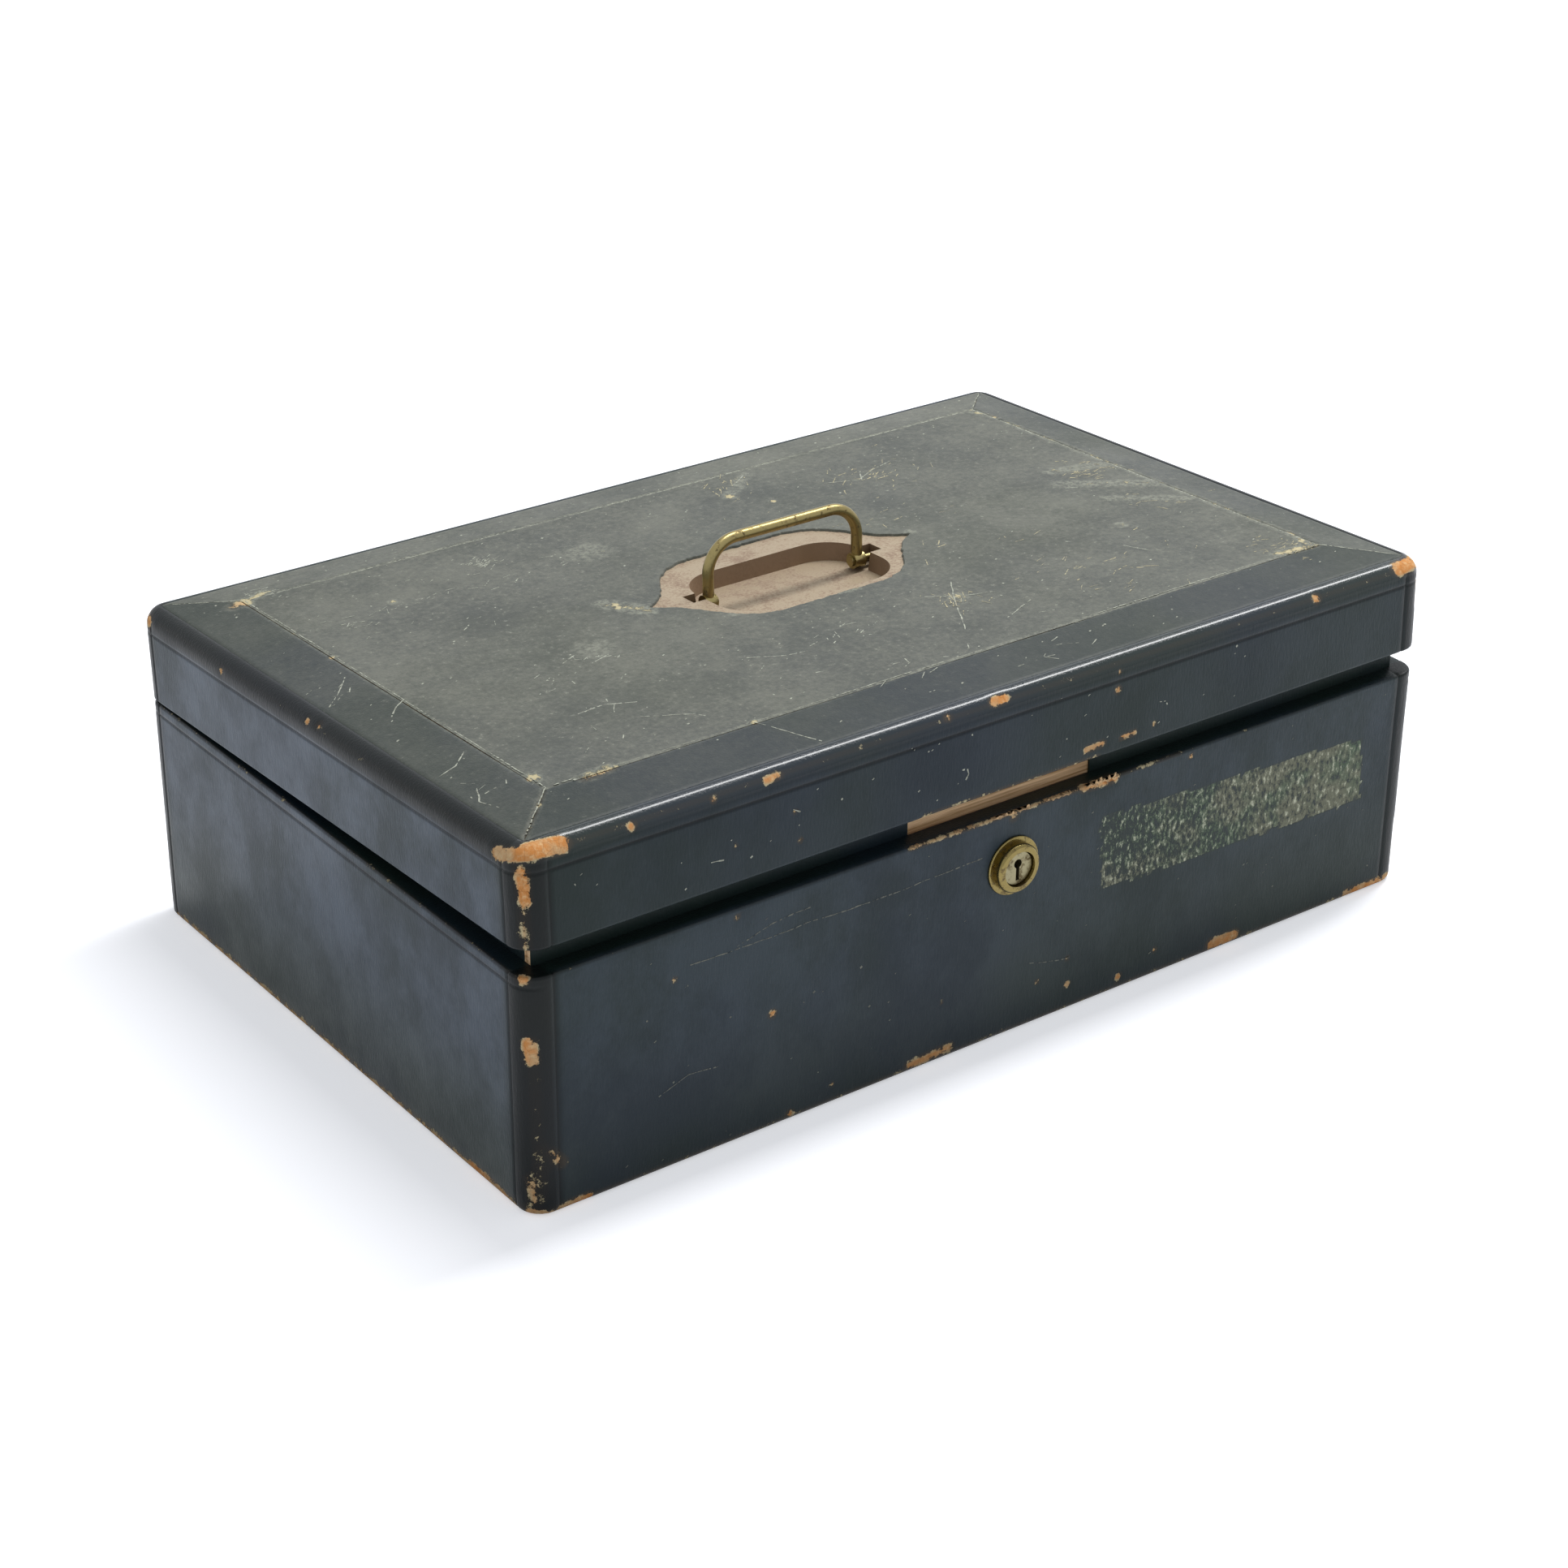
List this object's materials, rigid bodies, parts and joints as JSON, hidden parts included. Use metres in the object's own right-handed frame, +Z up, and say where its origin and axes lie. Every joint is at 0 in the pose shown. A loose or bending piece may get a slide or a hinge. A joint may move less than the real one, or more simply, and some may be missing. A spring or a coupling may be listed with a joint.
{
  "type": "writing box",
  "caption": "Leather-covered wooden writing box with a hinged lid standing ajar, a flush brass bail handle on the lid and a round brass key lock in front.",
  "frame": {"origin": "middle of the flat face that the box rests on, under the middle of the body's footprint", "axes": "+X along the front towards the right as seen from the front, +Y from the front with the lock to the back with the hinges, +Z up"},
  "size_m": [0.4, 0.271, 0.1544],
  "materials": {
    "leather": "polished dark blue-green goatskin, rubbed and scuffed",
    "wood": "bare planed pine",
    "lining": "matt lining paper",
    "handle_brass": "tarnished cast brass",
    "lock_brass": "rubbed brass",
    "hinge_brass": "tarnished rolled brass",
    "hinge_steel": "dull drawn steel",
    "screw_brass": "dull turned brass"
  },
  "bodies": {
    "box": {"back_board": "wood", "back_liner": "wood", "back_lining": "lining", "base_leather": "leather", "body_leather": "leather", "bottom_board": "wood", "floor_lining": "lining", "front_board": "wood", "front_liner": "wood", "front_lining": "lining", "hinge_body_screws": "screw_brass", "left_board": "wood", "left_hinge_body_leaf": "hinge_brass", "left_hinge_pin": "hinge_steel", "left_liner": "wood", "left_lining": "lining", "lip_leather_back": "leather", "lip_leather_front_left": "leather", "lip_leather_front_right": "leather", "lip_leather_left": "leather", "lip_leather_right": "leather", "lock_cap": "lock_brass", "lock_cap_screws": "screw_brass", "lock_case": "lock_brass", "lock_case_screws": "screw_brass", "lock_nozzle": "lock_brass", "right_board": "wood", "right_hinge_body_leaf": "hinge_brass", "right_hinge_pin": "hinge_steel", "right_liner": "wood", "right_lining": "lining"},
    "lid": {"lid_back_rail": "wood", "lid_border_back": "leather", "lid_border_front": "leather", "lid_border_left": "leather", "lid_border_right": "leather", "lid_front_rail": "wood", "lid_left_rail": "wood", "lid_lining": "lining", "lid_panel_leather": "leather", "lid_right_rail": "wood", "lid_side_leather": "leather", "lid_top_board": "wood", "handle_plate": "handle_brass", "handle_pivot_pins": "handle_brass", "handle_plate_screws": "screw_brass", "link_plate": "lock_brass", "link_plate_screws": "screw_brass", "left_hinge_lid_leaf": "hinge_brass", "right_hinge_lid_leaf": "hinge_brass", "hinge_lid_screws": "screw_brass"},
    "bail": {"handle_bail": "handle_brass"},
    "key_plug": {"lock_plug": "lock_brass"},
    "bolt": {"lock_bolt": "lock_brass"}
  },
  "joints": [
    {"name": "lid_hinge", "type": "hinge", "parent": "box", "child": "lid", "pos_m": [0, 0.1331, 0.09015], "axis": [-1, 0, 0], "range_deg": [-2, 95]},
    {"name": "bail_pivot", "type": "hinge", "parent": "lid", "child": "bail", "pos_m": [0, 0.0043, 0.12962], "axis": [1, 0, 0], "range_deg": [-60, 90]},
    {"name": "key_turn", "type": "hinge", "parent": "box", "child": "key_plug", "pos_m": [0, -0.13, 0.069], "axis": [0, 1, 0], "range_deg": [0, 90]},
    {"name": "bolt_slide", "type": "slide", "parent": "box", "child": "bolt", "axis": [1, 0, 0], "range_m": [0, 0.00566]}
  ],
  "couplings": [
    {"joint": "bolt_slide", "follows": "key_turn", "m_per_rad": 0.0036012}
  ]
}
